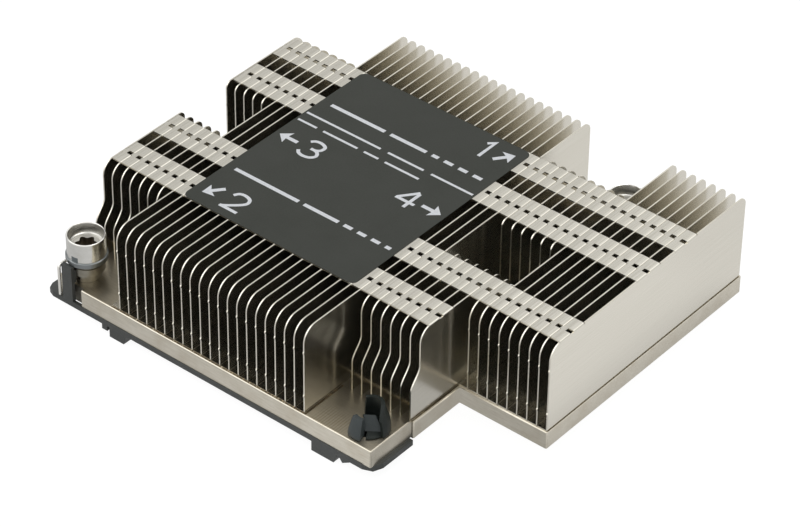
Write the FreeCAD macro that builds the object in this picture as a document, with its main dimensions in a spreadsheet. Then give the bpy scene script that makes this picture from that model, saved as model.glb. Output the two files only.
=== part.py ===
"""Passive processor heatsink for a 1U server, with its plastic carrier clip.

A copper base plate with one side wing carries 44 folded aluminium fins.  Each
fin is a thin sheet with a foot flange soldered to the base and top flanges
that reach to the fin before it, where a tongue and window lock the two.  Four
spring-loaded captive nuts draw the heatsink down on the socket's studs.

Frame: origin in the middle of the contact pad's face, +Z up towards the fins,
+X towards the wing, -Y towards the front, where the carrier's arm stands.
"""
import FreeCAD
import Part
import Sketcher
import math
import os
import re

# Driving sizes in millimetres: alias, value, meaning
SIZES = [
    ("pitch", 2.5, "from one fin's face to the next"),
    ("sheet_thick", 0.3, "fin sheet"),
    ("flange_gap", 0.2, "from a flange's end to the fin before it"),
    ("fin_high", 21.0, "fin, from the base plate up"),
    ("fin_inset", 0.5, "from a full fin's end to the base plate's end"),
    ("wing_front", 19.3, "from mid length to a wing fin's front edge"),
    ("gap_half_long", 6.6, "half of the gap between front and rear fins, over the middle nuts"),
    ("corner_front", 3.5, "rounding of a full fin's front corner"),
    ("corner_block", 3.2, "rounding of a short fin's outer corner"),
    ("corner_small", 2.0, "rounding of the other corners"),
    ("block_top", 31.5, "from mid length to a short fin's outer edge, upper part"),
    ("block_foot", 34.3, "the same, lower part, under the joggle"),
    ("joggle_low", 7.8, "from the base plate up to the joggle's lower end"),
    ("joggle_high", 11.5, "from the base plate up to the joggle's upper end"),
    ("joggle_ease", 0.7, "easing of the joggle's two turns"),
    ("inner_band_mid", 12.45, "from mid length to the middle of the inner flange bands"),
    ("inner_band_long", 7.7, "inner flange band"),
    ("outer_band_mid", 25.1, "from mid length to the middle of the outer flange bands"),
    ("outer_band_long", 7.4, "outer flange band"),
    ("window_long", 1.2, "interlock window along the fin"),
    ("window_reach", 1.1, "interlock window across the flange"),
    ("pad_proud", 0.3, "contact pad below the base plate"),
    ("pad_wide", 50.0, "contact pad along X"),
    ("pad_long", 70.0, "contact pad along Y"),
    ("base_thick", 4.2, "base plate"),
    ("base_half_wide", 43.2, "half of the base plate's width without its wing"),
    ("base_half_long", 46.5, "half of the base plate's length"),
    ("wing_reach", 22.0, "wing beyond the base plate's side"),
    ("wing_lead", 0.3, "wing of the base plate in front of its fins"),
    ("relief_deep", 0.7, "set-back of the base plate's side at the front right corner"),
    ("relief_long", 12.3, "length of that set-back"),
    ("notch_wide", 6.7, "arm's notch at the front left corner, along X"),
    ("notch_deep", 0.87, "arm's notch into the front edge"),
    ("nut_side", 4.7, "from the base plate's side to a captive nut's axis"),
    ("nut_end", 5.0, "from the base plate's end to a corner nut's axis"),
    ("nut_head_round", 4.0, "radius of a captive nut's head"),
    ("nut_head_foot", 5.0, "underside of the nut's head above the base plate"),
    ("nut_head_high", 5.5, "nut's head"),
    ("socket_flats", 4.8, "drive socket across flats"),
    ("socket_deep", 3.2, "drive socket"),
    ("shank_round", 2.3, "radius of the nut's shank"),
    ("shank_below", 1.2, "shank below the base plate"),
    ("thread_round", 1.65, "radius of the threaded bore"),
    ("thread_deep", 6.0, "depth of the threaded bore"),
    ("shank_play", 0.3, "clearance of the shank in its hole"),
    ("spring_round", 3.3, "outer radius of a nut's spring"),
    ("spring_wall", 0.7, "wire of a nut's spring"),
    ("ring_round", 3.6, "outer radius of a retaining ring"),
    ("ring_thick", 0.6, "retaining ring"),
    ("seat_play", 0.05, "running clearance where a ring, spring or clip seats"),
    ("carrier_thick", 1.35, "carrier plate"),
    ("carrier_lip", 0.15, "carrier in front of the base plate"),
    ("rail_inner", 28.0, "from mid width to a rail's inner side"),
    ("rail_wide", 5.0, "carrier rail"),
    ("bar_wide", 9.5, "from the base plate's end to the carrier's processor window"),
    ("lobe_side", 0.2, "carrier lobe beyond the base plate's side at the post"),
    ("lobe_long", 12.0, "from the base plate's end to that lobe's inner end"),
    ("lobe_corner", 3.0, "rounding of that lobe"),
    ("ear_side", 2.8, "ear at the arm beyond the base plate's side"),
    ("ear_long", 3.3, "from the base plate's end to the ear's inner end"),
    ("ear_corner", 2.0, "rounding of the ear"),
    ("nut_room", 2.0, "carrier's clearance beyond a corner nut's shank"),
    ("strip_wide", 0.85, "carrier strip in front of that clearance"),
    ("arm_side", 2.2, "from the base plate's side to the arm's outer side"),
    ("arm_wide", 2.8, "arm along X"),
    ("arm_play", 0.1, "clearance of the arm in its notch"),
    ("arm_top", 4.6, "arm above the base plate"),
    ("barb_foot", 0.2, "barb above the base plate"),
    ("barb_high", 3.6, "barb"),
    ("barb_reach", 0.75, "barb over the base plate"),
    ("post_side", 5.7, "from the base plate's side to a snap post's axis"),
    ("post_end", 5.4, "from the base plate's end to a snap post's axis"),
    ("post_foot_round", 3.4, "radius of the post's rear wall at the base plate"),
    ("post_top_round", 3.2, "radius of the post's rear wall at its top"),
    ("finger_foot_round", 4.6, "radius of the post's finger at the base plate"),
    ("finger_top_round", 3.3, "radius of the post's finger at its top"),
    ("finger_high", 3.9, "post's finger above the base plate"),
    ("post_neck_round", 2.9, "radius of the post's neck in the base plate"),
    ("post_wall", 0.9, "wall of the post and its finger"),
    ("post_high", 5.8, "post above the base plate"),
    ("post_floor", 1.2, "solid foot of the post"),
    ("post_play", 0.1, "clearance of the post's neck in its hole"),
    ("block_near", 27.2, "from mid width to the right latch block"),
    ("block_wide", 5.8, "right latch block"),
    ("block_left_near", 23.2, "from mid width to the left latch block"),
    ("block_left_wide", 4.7, "left latch block"),
    ("block_high", 2.4, "latch blocks below the carrier plate"),
    ("block_bevel", 0.7, "bevel of the latch blocks"),
    ("block_deep", 4.0, "latch blocks along Y"),
    ("tooth_near", 34.3, "from mid width to the pointed tooth"),
    ("tooth_wide", 3.1, "pointed tooth"),
    ("tooth_high", 1.25, "teeth below the carrier plate"),
    ("tooth_point", 1.0, "from the pointed tooth's near side to its point"),
    ("tooth_left_near", 28.5, "from mid width to the small tooth"),
    ("tooth_left_wide", 1.5, "small tooth"),
    ("clip_wire", 0.7, "section of the wire clip"),
    ("clip_side", 0.75, "from the arm to the wire clip"),
    ("clip_high", 3.7, "wire clip's top above the base plate"),
    ("clip_run", 2.5, "wire clip's run from the arm's front towards the nut"),
    ("clip_bend", 1.0, "outer rounding of the wire clip's bend"),
    ("label_half_wide", 22.9, "half of the label's width"),
    ("label_half_long", 27.8, "half of the label's length"),
    ("label_corner", 1.6, "rounding of the label's corners"),
    ("label_thick", 0.1, "label"),
]
ALIASES = {alias for alias, number, meaning in SIZES}

# Counts of the fin stack, counted from the left
FIN_COUNT = 44
MAIN_FIN = 17
LEFT_SPLIT_LAST = 6
RIGHT_SPLIT_FIRST = 28
RIGHT_SPLIT_LAST = 35
LABEL_FIRST = 8
LABEL_LAST = 26

# Straight steps that round stretches are made of
LARGE_CORNER_STEPS = 3
SMALL_CORNER_STEPS = 2
BARB_STEPS = 4
SPRING_SIDES = 10
RING_SIDES = 6
POST_SIDES = 12
POST_STEP = 360 / POST_SIDES
POST_WALL_START = -15
POST_WALL_STEPS = 5
FINGER_START = -165
FINGER_STEPS = 3
FRONT = -1
REAR = 1

# Levels and places that several pieces share
BASE_TOP = "(pad_proud + base_thick)"
FIN_TOP = f"({BASE_TOP} + fin_high)"
FLANGE_REACH = "(pitch - flange_gap)"
CARRIER_UNDER = "(pad_proud - carrier_thick)"
CARRIER_FRONT = "(base_half_long + carrier_lip)"
ARM_BACK = "(base_half_long - notch_deep + arm_play)"
NUT_HEAD_UNDER = f"({BASE_TOP} + nut_head_foot)"
NUT_TOP = f"({NUT_HEAD_UNDER} + nut_head_high)"
SHANK_END = "(pad_proud - shank_below)"
RAIL_OUTER = "(rail_inner + rail_wide)"
LOBE_OUTER = "(base_half_wide + lobe_side)"
LOBE_BACK = "(base_half_long - lobe_long)"
WINDOW_HALF_LONG = "(base_half_long - bar_wide)"
FIN_END = "(base_half_long - fin_inset)"
NUT_X = "(base_half_wide - nut_side)"
NUT_Y = "(base_half_long - nut_end)"
NUT_ROOM = "(shank_round + nut_room)"
POST_X = "(base_half_wide - post_side)"
POST_Y = "(base_half_long - post_end)"
ARM_OUTER = "(base_half_wide - arm_side)"
EAR_OUTER = "(base_half_wide + ear_side)"
EAR_BACK = "(base_half_long - ear_long)"

doc = FreeCAD.newDocument("passive_heatsink")
sheet = doc.addObject("Spreadsheet::Sheet", "Sizes")
for row, (alias, number, meaning) in enumerate(SIZES, start=1):
    sheet.set(f"A{row}", meaning)
    sheet.set(f"B{row}", str(number))
    sheet.setAlias(f"B{row}", alias)
doc.recompute()


def cells(expression):
    """The expression with each alias pointing at its cell."""
    def point(word):
        return "Sizes." + word.group() if word.group() in ALIASES else word.group()
    return re.sub(r"[a-z_]+", point, expression)


def value(expression):
    """The expression's present value."""
    return float(sheet.evalExpression(cells(expression)))


def new_body(name):
    body = doc.addObject("PartDesign::Body", name)
    body.Label = name
    return body


def origin_item(body, role):
    """One of the body's own origin planes or axes."""
    return next(item for item in body.Origin.OriginFeatures if item.Role == role)


def new_sketch(body, name, plane, height="0", across="0", along="0"):
    """A sketch on one of the body's own origin planes, raised by height and moved in it."""
    sketch = body.newObject("Sketcher::SketchObject", name)
    sketch.AttachmentSupport = [(origin_item(body, plane), "")]
    sketch.MapMode = "FlatFace"
    sketch.setExpression("AttachmentOffset.Base.x", cells(across))
    sketch.setExpression("AttachmentOffset.Base.y", cells(along))
    sketch.setExpression("AttachmentOffset.Base.z", cells(height))
    return sketch


def bind(sketch, kind, places, expression):
    """A dimension of the sketch, bound to the sheet."""
    index = sketch.addConstraint(Sketcher.Constraint(kind, *places, value(expression)))
    name = f"{kind.lower()}_{index}"
    sketch.renameConstraint(index, name)
    sketch.setExpression("Constraints." + name, cells(expression))


def pin_point(sketch, edge, end, x, y):
    bind(sketch, "DistanceX", (-1, 1, edge, end), x)
    bind(sketch, "DistanceY", (-1, 1, edge, end), y)


def outline(sketch, points):
    """Closed outline of straight edges through points given as expressions."""
    spots = [FreeCAD.Vector(value(x), value(y), 0) for x, y in points]
    first = sketch.GeometryCount
    for start, end in zip(spots, spots[1:] + spots[:1]):
        sketch.addGeometry(Part.LineSegment(start, end), False)
    for place, (x, y) in enumerate(points):
        edge = first + place
        after = first + (place + 1) % len(points)
        sketch.addConstraint(Sketcher.Constraint("Coincident", edge, 2, after, 1))
        pin_point(sketch, edge, 1, x, y)


def rectangle(sketch, left, right, near, far):
    outline(sketch, [(left, near), (right, near), (right, far), (left, far)])


def circle(sketch, x, y, radius):
    centre = FreeCAD.Vector(value(x), value(y), 0)
    up = FreeCAD.Vector(0, 0, 1)
    edge = sketch.addGeometry(Part.Circle(centre, up, value(radius)), False)
    bind(sketch, "Radius", (edge,), radius)
    pin_point(sketch, edge, 3, x, y)


def corner(x, y, toward_x, toward_y, radius, along_x, steps=SMALL_CORNER_STEPS):
    """Points that round the corner at x, y, where toward_x and toward_y point inwards.

    along_x says that the edge before the corner runs along X.
    """
    points = []
    for step in range(steps + 1):
        angle = math.radians(90 * step / steps)
        before = 1 - math.sin(angle)
        after = 1 - math.cos(angle)
        part_x, part_y = (before, after) if along_x else (after, before)
        points.append((f"({x}) + {toward_x * part_x:.5f} * {radius}",
                       f"({y}) + {toward_y * part_y:.5f} * {radius}"))
    return points


def arc_points(start, steps, step, radius):
    """Points on a circle round the origin, from the start angle in degrees."""
    turns = [math.radians(start + number * step) for number in range(steps + 1)]
    return [(f"{math.cos(turn):.5f} * {radius}", f"{math.sin(turn):.5f} * {radius}")
            for turn in turns]


def polygon(sides, radius):
    """Corners of a regular polygon round the origin."""
    return arc_points(0, sides - 1, 360 / sides, radius)


def moved(points, x, y):
    return [(f"({x}) + {across}", f"({y}) + {along}") for across, along in points]


def pad(body, sketch, length, backwards=False):
    feature = body.newObject("PartDesign::Pad", sketch.Name + "_pad")
    feature.Profile = sketch
    feature.Reversed = backwards
    feature.setExpression("Length", cells(length))
    return feature


def pocket(body, sketch, length, backwards=False):
    """A cut against the sketch's normal, or along it when backwards."""
    feature = body.newObject("PartDesign::Pocket", sketch.Name + "_cut")
    feature.Profile = sketch
    feature.Reversed = backwards
    feature.setExpression("Length", cells(length))
    return feature


def revolve(body, sketch):
    feature = body.newObject("PartDesign::Revolution", sketch.Name + "_turn")
    feature.Profile = sketch
    feature.ReferenceAxis = (sketch, ["V_Axis"])
    feature.Angle = 360.0
    return feature


def group(name, members):
    """Several solids in one node; each member is a body and its place."""
    links = []
    for number, (body, x, y, turn) in enumerate(members, start=1):
        link = doc.addObject("App::Link", f"{name}_{number}")
        link.LinkedObject = body
        link.setExpression("Placement.Base.x", cells(x))
        link.setExpression("Placement.Base.y", cells(y))
        link.Placement.Rotation = FreeCAD.Rotation(FreeCAD.Vector(0, 0, 1), turn)
        links.append(link)
    node = doc.addObject("Part::Compound", name)
    node.Label = name
    node.Links = links
    return node


# Fin sheets

def band_edges(name, side):
    """Start and end of a flange band along Y."""
    middle = f"{side} * {name}_mid"
    return f"{middle} - {name}_long / 2", f"{middle} + {name}_long / 2"


def joggle(side, rising):
    """The four points of the joggle in a short fin's outer edge."""
    slant = "sqrt((block_foot - block_top)^2 + (joggle_high - joggle_low)^2)"
    aside = f"joggle_ease * (block_foot - block_top) / {slant}"
    along = f"joggle_ease * (joggle_high - joggle_low) / {slant}"
    low = f"{BASE_TOP} + joggle_low"
    high = f"{BASE_TOP} + joggle_high"
    points = [(f"{side} * block_foot", f"{low} - joggle_ease"),
              (f"{side} * (block_foot - {aside})", f"{low} + {along}"),
              (f"{side} * (block_top + {aside})", f"{high} - {along}"),
              (f"{side} * block_top", f"{high} + joggle_ease")]
    return points if rising else points[::-1]


def fin_outline(front, rear, front_corner, rear_corner, front_joggle=False):
    """Side view of a fin sheet, from its front foot round to its rear foot."""
    front_foot = "-block_foot" if front_joggle else front
    points = [(front_foot, BASE_TOP), (rear, BASE_TOP)]
    points += corner(rear, FIN_TOP, -1, -1, rear_corner, False)
    steps = LARGE_CORNER_STEPS if front_corner == "corner_front" else SMALL_CORNER_STEPS
    points += corner(front, FIN_TOP, 1, -1, front_corner, True, steps)
    if front_joggle:
        points += joggle(FRONT, False)
    return points


def fin_sheet(name, points, bands, foot, flanged=True, windowed=True):
    """One folded sheet: its side, foot flange, top flanges and windows."""
    body = new_body(name)
    side = new_sketch(body, name + "_side", "YZ_Plane")
    outline(side, points)
    pad(body, side, "sheet_thick", backwards=True)
    if flanged:
        foot_flange = new_sketch(body, name + "_foot", "XY_Plane", BASE_TOP)
        rectangle(foot_flange, f"-{FLANGE_REACH}", "0", *foot)
        pad(body, foot_flange, "sheet_thick")
        top_flanges = new_sketch(body, name + "_flanges", "XY_Plane", FIN_TOP)
        for band in bands:
            rectangle(top_flanges, f"-{FLANGE_REACH}", "0", *band_edges(*band))
        pad(body, top_flanges, "sheet_thick", backwards=True)
    if windowed:
        windows = new_sketch(body, name + "_windows", "XY_Plane", FIN_TOP)
        for band, end in bands:
            middle = f"{end} * {band}_mid"
            rectangle(windows, "-window_reach", "0",
                      f"{middle} - window_long / 2", f"{middle} + window_long / 2")
        pocket(body, windows, "sheet_thick")
    return body


def mirrored(name, source):
    """The source seen in a mirror across mid length."""
    copy = doc.addObject("Part::Mirroring", name)
    copy.Source = source
    copy.Normal = FreeCAD.Vector(0, 1, 0)
    return copy


FULL_BANDS = [("outer_band", FRONT), ("inner_band", FRONT), ("inner_band", REAR), ("outer_band", REAR)]
FRONT_BANDS = FULL_BANDS[:2]
WING_BANDS = FULL_BANDS[1:]
STUB_BANDS = FULL_BANDS[1:2]

full_points = fin_outline(f"-{FIN_END}", FIN_END, "corner_front", "corner_small")
full_foot = (f"-{FIN_END}", FIN_END)
full_fin = fin_sheet("full_fin", full_points, FULL_BANDS, full_foot)
label_fin = fin_sheet("label_fin", full_points, FULL_BANDS, full_foot, windowed=False)
wing_fin = fin_sheet("wing_fin",
                     fin_outline("-wing_front", FIN_END, "corner_front", "corner_small"),
                     WING_BANDS, ("-wing_front", FIN_END))
short_points = fin_outline("-block_top", "-gap_half_long", "corner_block", "corner_small", True)
short_foot = ("-block_foot", "-gap_half_long")
front_fin = fin_sheet("front_fin", short_points, FRONT_BANDS, short_foot)
rear_fin = mirrored("rear_fin", front_fin)
front_end_fin = fin_sheet("front_end_fin", short_points, FRONT_BANDS, short_foot, flanged=False)
rear_end_fin = mirrored("rear_end_fin", front_end_fin)
stub_fin = fin_sheet("stub_fin",
                     fin_outline("-wing_front", "-gap_half_long", "corner_front", "corner_small"),
                     STUB_BANDS, ("-wing_front", "-gap_half_long"))


def sheets_of(fin):
    """The sheets that stand on one line of the fin stack."""
    if fin == 0:
        return [front_end_fin, rear_end_fin]
    if fin == RIGHT_SPLIT_LAST:
        return [stub_fin, rear_fin]
    if fin <= LEFT_SPLIT_LAST or RIGHT_SPLIT_FIRST <= fin < RIGHT_SPLIT_LAST:
        return [front_fin, rear_fin]
    if fin > RIGHT_SPLIT_LAST:
        return [wing_fin]
    return [label_fin] if LABEL_FIRST <= fin <= LABEL_LAST else [full_fin]


def fins():
    nodes = []
    for fin in range(FIN_COUNT):
        node = doc.addObject("Part::Compound", f"fin_{fin + 1:02d}")
        node.Label = node.Name
        node.Links = sheets_of(fin)
        node.setExpression("Placement.Base.x", cells(f"{fin - MAIN_FIN} * pitch"))
        nodes.append(node)
    return nodes


def base_plate():
    """Copper plate with its wing, contact pad, arm notches and nut holes."""
    body = new_body("base_plate")
    plan = new_sketch(body, "base_plan", "XY_Plane", "pad_proud")
    front = "-base_half_long"
    left = "-base_half_wide"
    wing = "(base_half_wide + wing_reach)"
    notch_back = "-base_half_long + notch_deep"
    relief_back = "-base_half_long + relief_long"
    wing_edge = "-wing_front - wing_lead"
    outline(plan, [
        (left, notch_back),
        (f"{left} + notch_wide", notch_back),
        (f"{left} + notch_wide", front),
        ("base_half_wide - relief_deep", front),
        ("base_half_wide - relief_deep", relief_back),
        ("base_half_wide", relief_back),
        ("base_half_wide", wing_edge),
        (wing, wing_edge),
        (wing, "base_half_long"),
        ("base_half_wide", "base_half_long"),
        ("base_half_wide", f"-({notch_back})"),
        ("base_half_wide - notch_wide", f"-({notch_back})"),
        ("base_half_wide - notch_wide", "base_half_long"),
        (left, "base_half_long"),
    ])
    pad(body, plan, "base_thick")
    contact = new_sketch(body, "contact_pad", "XY_Plane")
    rectangle(contact, "-pad_wide / 2", "pad_wide / 2", "-pad_long / 2", "pad_long / 2")
    pad(body, contact, "pad_proud + base_thick / 2")
    holes = new_sketch(body, "shank_holes", "XY_Plane", BASE_TOP)
    for x, y in NUT_PLACES:
        circle(holes, x, y, "shank_round + shank_play")
    for x, y in POST_PLACES:
        outline(holes, moved(polygon(POST_SIDES, "(post_neck_round + post_play)"), x, y))
    pocket(body, holes, "base_thick + pad_proud")
    return body


NUT_PLACES = [(f"-{NUT_X}", f"-{NUT_Y}"), (NUT_X, NUT_Y), (f"-{NUT_X}", "0"), (NUT_X, "0")]
POST_PLACES = [(POST_X, f"-{POST_Y}"), (f"-{POST_X}", POST_Y)]


def captive_nuts():
    """Headed nuts with a drive socket above and a threaded bore below."""
    body = new_body("nut")
    section = new_sketch(body, "nut_section", "XZ_Plane")
    outline(section, [
        ("0", NUT_TOP),
        ("0", f"{SHANK_END} + thread_deep"),
        ("thread_round", f"{SHANK_END} + thread_deep"),
        ("thread_round", SHANK_END),
        ("shank_round", SHANK_END),
        ("shank_round", NUT_HEAD_UNDER),
        ("nut_head_round", NUT_HEAD_UNDER),
        ("nut_head_round", NUT_TOP),
    ])
    revolve(body, section)
    drive = new_sketch(body, "nut_socket", "XY_Plane", NUT_TOP)
    outline(drive, polygon(6, "socket_flats / sqrt(3)"))
    pocket(body, drive, "socket_deep")
    return group("captive_nuts", [(body, x, y, 0) for x, y in NUT_PLACES])


def nut_springs():
    """Closed sleeves of the springs' outer shape, between base plate and nut head."""
    body = new_body("spring")
    wall = new_sketch(body, "spring_wall_plan", "XY_Plane", f"{BASE_TOP} + seat_play")
    outline(wall, polygon(SPRING_SIDES, "spring_round"))
    outline(wall, polygon(SPRING_SIDES, "(spring_round - spring_wall)"))
    pad(body, wall, "nut_head_foot - 2 * seat_play")
    return group("nut_springs", [(body, x, y, 0) for x, y in NUT_PLACES])


def nut_retaining_rings():
    """Rings that keep the nuts in the base plate."""
    body = new_body("ring")
    plan = new_sketch(body, "ring_plan", "XY_Plane", "pad_proud - seat_play")
    outline(plan, polygon(RING_SIDES, "ring_round"))
    clear = f"((shank_round + seat_play) / {math.cos(math.pi / RING_SIDES):.5f})"
    outline(plan, polygon(RING_SIDES, clear))
    pad(body, plan, "ring_thick", backwards=True)
    return group("nut_retaining_rings", [(body, x, y, 0) for x, y in NUT_PLACES])


def turned(points):
    """The same points after half a turn about the origin."""
    return [(f"-({x})", f"-({y})") for x, y in points]


def carrier_clip():
    """Moulded carrier: plate with processor window, arms, posts, blocks and teeth."""
    body = new_body("carrier_clip")
    plan = new_sketch(body, "carrier_plan", "XY_Plane", CARRIER_UNDER)
    front = f"-{CARRIER_FRONT}"
    room_front = f"{front} + strip_wide"
    half = [
        (f"-{EAR_OUTER}", f"-{EAR_BACK}"),
        *corner(f"-{EAR_OUTER}", front, 1, 1, "ear_corner", False),
        *corner(LOBE_OUTER, front, -1, 1, "lobe_corner", True),
        (LOBE_OUTER, f"-{LOBE_BACK}"),
        (RAIL_OUTER, f"-{LOBE_BACK}"),
        (RAIL_OUTER, WINDOW_HALF_LONG),
        (f"{NUT_X} - {NUT_ROOM}", WINDOW_HALF_LONG),
        (f"{NUT_X} - {NUT_ROOM}", f"-({room_front})"),
        (f"{NUT_X} + {NUT_ROOM}", f"-({room_front})"),
        (f"{NUT_X} + {NUT_ROOM}", EAR_BACK),
    ]
    outline(plan, half + turned(half))
    rectangle(plan, "-rail_inner", "rail_inner", f"-{WINDOW_HALF_LONG}", WINDOW_HALF_LONG)
    pad(body, plan, "carrier_thick")
    features = [carrier_arm(body), *carrier_post(body), carrier_blocks(body)]
    both_ends = body.newObject("PartDesign::PolarPattern", "both_ends")
    both_ends.Originals = features
    both_ends.Axis = (origin_item(body, "Z_Axis"), [""])
    both_ends.Angle = 360.0
    both_ends.Occurrences = 2
    body.Tip = both_ends
    return body


def carrier_arm(body):
    """Upright arm in the base plate's notch, with its half-round barb."""
    side = new_sketch(body, "arm_profile", "YZ_Plane", f"-{ARM_OUTER}")
    barb_middle = f"({BASE_TOP} + barb_foot + barb_high / 2)"
    barb = [(f"-{ARM_BACK} + barb_reach * ({along})", f"{barb_middle} + barb_high / 2 * ({up})")
            for up, along in arc_points(180, BARB_STEPS, -180 / BARB_STEPS, 1)]
    outline(side, [
        (f"-{CARRIER_FRONT}", CARRIER_UNDER),
        (f"-{ARM_BACK}", CARRIER_UNDER),
        *barb,
        (f"-{ARM_BACK}", f"{BASE_TOP} + arm_top"),
        (f"-{CARRIER_FRONT}", f"{BASE_TOP} + arm_top"),
    ])
    return pad(body, side, "arm_wide")


def carrier_post(body):
    """Split snap post: neck, foot, tall rear wall and a short finger with a wide foot."""
    place = (POST_X, f"-{POST_Y}")
    neck = new_sketch(body, "post_neck", "XY_Plane", CARRIER_UNDER, *place)
    outline(neck, polygon(POST_SIDES, "post_neck_round"))
    foot = new_sketch(body, "post_foot", "XY_Plane", f"{BASE_TOP} + seat_play", *place)
    outline(foot, polygon(POST_SIDES, "post_foot_round"))
    features = [pad(body, neck, "carrier_thick + base_thick + post_floor / 2"),
                pad(body, foot, "post_floor")]
    for name, start, steps, inner_foot in [
            ("post", POST_WALL_START, POST_WALL_STEPS, "(post_foot_round - post_wall)"),
            ("finger", FINGER_START, FINGER_STEPS, "(post_neck_round - post_wall)")]:
        sections = []
        for end, level, inner in [("foot", "seat_play", inner_foot),
                                  ("top", f"{name}_high", f"({name}_top_round - post_wall)")]:
            section = new_sketch(body, f"{name}_{end}_section", "XY_Plane",
                                 f"{BASE_TOP} + {level}", *place)
            outline(section, arc_points(start, steps, POST_STEP, f"{name}_{end}_round")
                    + arc_points(start, steps, POST_STEP, inner)[::-1])
            sections.append(section)
        wall = body.newObject("PartDesign::AdditiveLoft", name + "_wall")
        wall.Profile = sections[0]
        wall.Sections = sections[1:]
        wall.Ruled = True
        features.append(wall)
    return features


def carrier_blocks(body):
    """Latch blocks and teeth below the plate's front edge."""
    front = new_sketch(body, "front_blocks", "XZ_Plane", CARRIER_FRONT)
    under = f"({CARRIER_UNDER} + seat_play)"
    block_foot = f"{CARRIER_UNDER} - block_high"
    tooth_foot = f"{CARRIER_UNDER} - tooth_high"
    outline(front, [
        ("block_near", under),
        ("block_near", block_foot),
        ("block_near + block_wide", block_foot),
        ("block_near + block_wide + block_bevel", f"{block_foot} + 2 * block_bevel"),
        ("block_near + block_wide + block_bevel", under),
    ])
    outline(front, [
        ("tooth_near", under),
        ("tooth_near + tooth_point", tooth_foot),
        ("tooth_near + tooth_wide", under),
    ])
    outline(front, [
        ("-block_left_near", under),
        ("-block_left_near - block_bevel", block_foot),
        ("-block_left_near - block_left_wide", block_foot),
        ("-block_left_near - block_left_wide", under),
    ])
    rectangle(front, "-tooth_left_near - tooth_left_wide", "-tooth_left_near", tooth_foot, under)
    return pad(body, front, "block_deep", backwards=True)


def wire_clips():
    """Light wire clips that stand on the carrier beside its arms."""
    body = new_body("wire_clip")
    side = new_sketch(body, "clip_profile", "YZ_Plane", f"-{ARM_OUTER} - clip_side - clip_wire")
    front = f"-{CARRIER_FRONT}"
    top = f"({BASE_TOP} + clip_high)"
    outline(side, [
        (front, "pad_proud"),
        (f"{front} + clip_wire", "pad_proud"),
        *corner(f"{front} + clip_wire", f"{top} - clip_wire", 1, -1,
                "(clip_bend - clip_wire)", False),
        (f"{front} + clip_run", f"{top} - clip_wire"),
        (f"{front} + clip_run", top),
        *corner(front, top, 1, -1, "clip_bend", True),
    ])
    pad(body, side, "clip_wire")
    return group("wire_clips", [(body, "0", "0", 0), (body, "0", "0", 180)])


def top_label():
    """Thin label on the top flanges of the middle fins."""
    body = new_body("top_label")
    plan = new_sketch(body, "label_plan", "XY_Plane", FIN_TOP)
    wide = "label_half_wide"
    long = "label_half_long"
    steps = LARGE_CORNER_STEPS
    outline(plan, corner(wide, f"-{long}", -1, 1, "label_corner", True, steps)
            + corner(wide, long, -1, -1, "label_corner", False, steps)
            + corner(f"-{wide}", long, 1, -1, "label_corner", True, steps)
            + corner(f"-{wide}", f"-{long}", 1, 1, "label_corner", False, steps))
    pad(body, plan, "label_thick")
    return body


nodes = fins() + [
    base_plate(),
    captive_nuts(),
    nut_springs(),
    nut_retaining_rings(),
    carrier_clip(),
    wire_clips(),
    top_label(),
]
doc.recompute()

for item in doc.Objects:
    if "Invalid" in item.State or "Error" in item.State:
        raise RuntimeError(f"{item.Name} failed: {item.State}")
    if item.TypeId == "PartDesign::Pocket":
        if item.Shape.Volume >= item.BaseFeature.Shape.Volume:
            raise RuntimeError(f"{item.Name} cuts nothing")
for node in nodes:
    if node.Shape.isNull() or not node.Shape.isValid():
        raise RuntimeError(f"{node.Label} has no valid shape")

os.makedirs("parts", exist_ok=True)
for node in nodes:
    node.Shape.exportStep(f"parts/{node.Label}.step")
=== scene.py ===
"""Looks of the passive processor heatsink: folded fins with rounded bends and
interlocked tongues, plated base plate, captive nuts, carrier clip, wire clips
and a label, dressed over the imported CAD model.  Lengths are millimetres in the
part's frame, and make_piece turns them into metres.  Textures, floor, lamps
and camera are in metres."""
import math

import bmesh
import bpy
from mathutils import Matrix, Vector


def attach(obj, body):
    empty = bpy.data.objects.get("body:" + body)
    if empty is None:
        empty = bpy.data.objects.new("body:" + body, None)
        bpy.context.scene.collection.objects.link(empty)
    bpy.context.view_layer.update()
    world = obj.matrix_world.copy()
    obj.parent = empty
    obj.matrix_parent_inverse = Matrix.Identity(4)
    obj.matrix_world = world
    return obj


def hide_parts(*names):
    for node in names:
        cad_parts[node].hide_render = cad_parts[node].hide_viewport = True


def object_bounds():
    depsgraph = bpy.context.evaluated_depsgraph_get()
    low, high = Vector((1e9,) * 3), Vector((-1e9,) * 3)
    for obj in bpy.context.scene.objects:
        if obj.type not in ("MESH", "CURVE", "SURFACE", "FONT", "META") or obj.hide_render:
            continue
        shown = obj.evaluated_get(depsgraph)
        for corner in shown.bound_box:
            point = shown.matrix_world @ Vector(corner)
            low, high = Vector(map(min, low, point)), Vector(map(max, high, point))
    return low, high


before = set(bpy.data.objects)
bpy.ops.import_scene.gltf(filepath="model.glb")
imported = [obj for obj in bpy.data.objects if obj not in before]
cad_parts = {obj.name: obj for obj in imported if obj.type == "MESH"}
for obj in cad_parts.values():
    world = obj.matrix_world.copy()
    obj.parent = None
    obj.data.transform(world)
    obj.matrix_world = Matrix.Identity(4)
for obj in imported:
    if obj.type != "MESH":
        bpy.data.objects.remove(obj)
cad_bounds = [list(corner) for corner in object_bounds()]

MM = 0.001

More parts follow.
